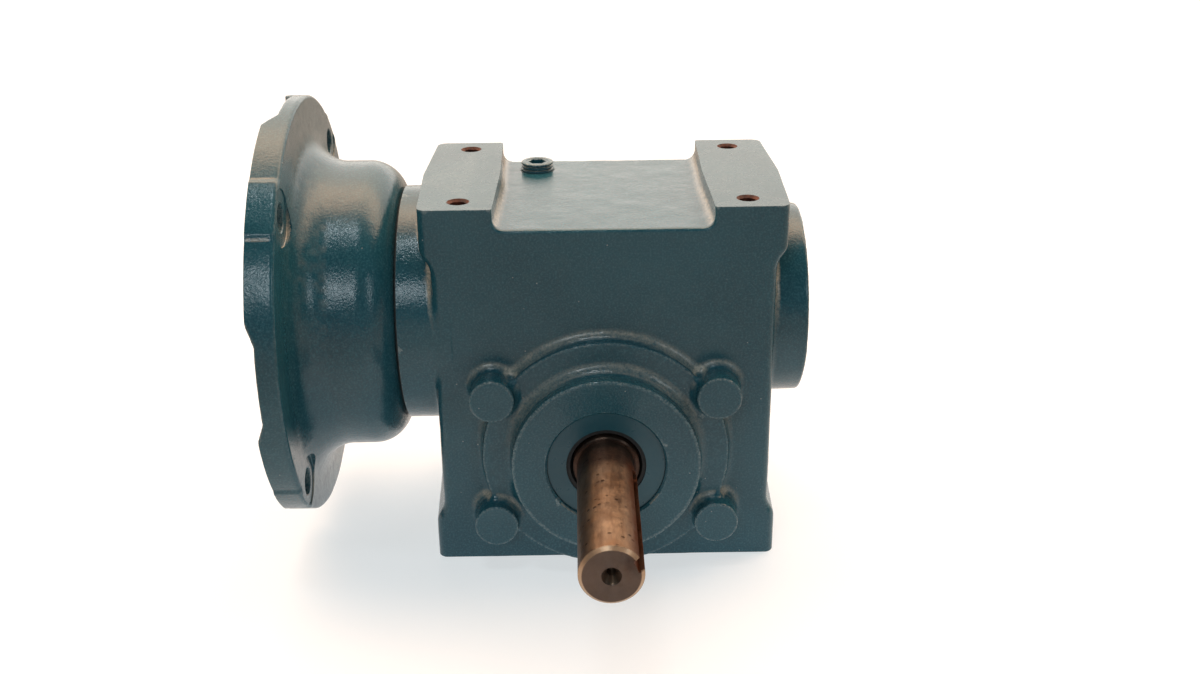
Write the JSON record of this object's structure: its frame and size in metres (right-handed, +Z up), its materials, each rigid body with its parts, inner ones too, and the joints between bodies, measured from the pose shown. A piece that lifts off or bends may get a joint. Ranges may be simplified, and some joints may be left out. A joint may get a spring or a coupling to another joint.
{
  "type": "industrial gearbox",
  "caption": "Right-angle worm gearbox: cast housing with drilled pads top and bottom, bell adapter with a round motor flange, hollow input and a solid keyed output shaft.",
  "frame": {"origin": "centre of the four-hole pattern on the base plane, under the output axis, midway between the front and back walls", "axes": "+X along the worm axis away from the motor, -Y along the output shaft's free end, +Z up"},
  "size_m": [0.2024, 0.218, 0.1742],
  "materials": {
    "painted_iron": "dark teal-grey enamel over a sand-cast surface",
    "painted_steel": "dark teal-grey enamel over machined steel",
    "oxidised_shaft": "turned steel, oxidised to a bronze brown with dark specks",
    "bronze": "machined gear bronze",
    "bare_iron": "machined grey iron",
    "key_steel": "drawn bright steel",
    "worm_steel": "hardened and ground steel, dark between the ground faces",
    "race_steel": "ground bearing steel",
    "ball_steel": "polished bearing steel",
    "cage_brass": "machined brass",
    "shim_brass": "rolled shim stock",
    "spring_steel": "blackened spring steel",
    "black_steel": "black oxide alloy steel",
    "seal_case_steel": "pressed steel",
    "seal_rubber": "black nitrile",
    "gasket": "compressed fibre sheet"
  },
  "bodies": {
    "housing_body": {"housing": "painted_iron", "output_cover": "painted_iron", "output_cover_gasket": "gasket", "output_cover_bolts": "painted_steel", "output_cover_washers": "painted_steel", "front_outer_race": "race_steel", "rear_outer_race": "race_steel", "output_shims": "shim_brass", "output_seal_case": "painted_steel", "output_seal_lip": "seal_rubber", "input_outer_race": "race_steel", "tail_outer_race": "race_steel", "tail_retaining_ring": "spring_steel", "tail_end_cap": "painted_steel", "input_seal_case": "seal_case_steel", "input_seal_lip": "seal_rubber", "motor_adapter": "painted_iron", "adapter_gasket": "gasket", "adapter_screws": "black_steel", "adapter_screw_washers": "spring_steel", "filler_plug": "painted_steel", "drain_plug": "painted_steel", "level_plug": "painted_steel"},
    "output_shaft_body": {"output_shaft": "oxidised_shaft", "worm_wheel_rim": "bronze", "worm_wheel_hub": "bare_iron", "wheel_key": "key_steel", "wheel_spacer": "key_steel", "front_inner_race": "race_steel", "rear_inner_race": "race_steel"},
    "worm_body": {"worm": "worm_steel", "input_inner_race": "race_steel", "tail_inner_race": "race_steel", "input_retaining_ring": "spring_steel"},
    "front_ball_set": {"front_balls": "ball_steel", "front_cage": "cage_brass"},
    "rear_ball_set": {"rear_balls": "ball_steel", "rear_cage": "cage_brass"},
    "input_ball_set": {"input_balls": "ball_steel", "input_cage": "cage_brass"},
    "tail_ball_set": {"tail_balls": "ball_steel", "tail_cage": "cage_brass"}
  },
  "joints": [
    {"name": "output_spin", "type": "hinge", "parent": "housing_body", "child": "output_shaft_body", "pos_m": [0, 0, 0.0472], "axis": [0, -1, 0], "continuous": true},
    {"name": "worm_spin", "type": "hinge", "parent": "housing_body", "child": "worm_body", "pos_m": [0, 0, 0.09165], "axis": [-1, 0, 0], "continuous": true},
    {"name": "front_ball_set_spin", "type": "hinge", "parent": "housing_body", "child": "front_ball_set", "pos_m": [0, 0, 0.0472], "axis": [0, -1, 0], "continuous": true},
    {"name": "rear_ball_set_spin", "type": "hinge", "parent": "housing_body", "child": "rear_ball_set", "pos_m": [0, 0, 0.0472], "axis": [0, -1, 0], "continuous": true},
    {"name": "input_ball_set_spin", "type": "hinge", "parent": "housing_body", "child": "input_ball_set", "pos_m": [0, 0, 0.09165], "axis": [-1, 0, 0], "continuous": true},
    {"name": "tail_ball_set_spin", "type": "hinge", "parent": "housing_body", "child": "tail_ball_set", "pos_m": [0, 0, 0.09165], "axis": [-1, 0, 0], "continuous": true}
  ],
  "couplings": [
    {"joint": "worm_spin", "follows": "output_spin", "ratio": -30},
    {"joint": "front_ball_set_spin", "follows": "output_spin", "ratio": 0.3969},
    {"joint": "rear_ball_set_spin", "follows": "output_spin", "ratio": 0.3969},
    {"joint": "input_ball_set_spin", "follows": "output_spin", "ratio": -11.896},
    {"joint": "tail_ball_set_spin", "follows": "output_spin", "ratio": -10.903}
  ]
}
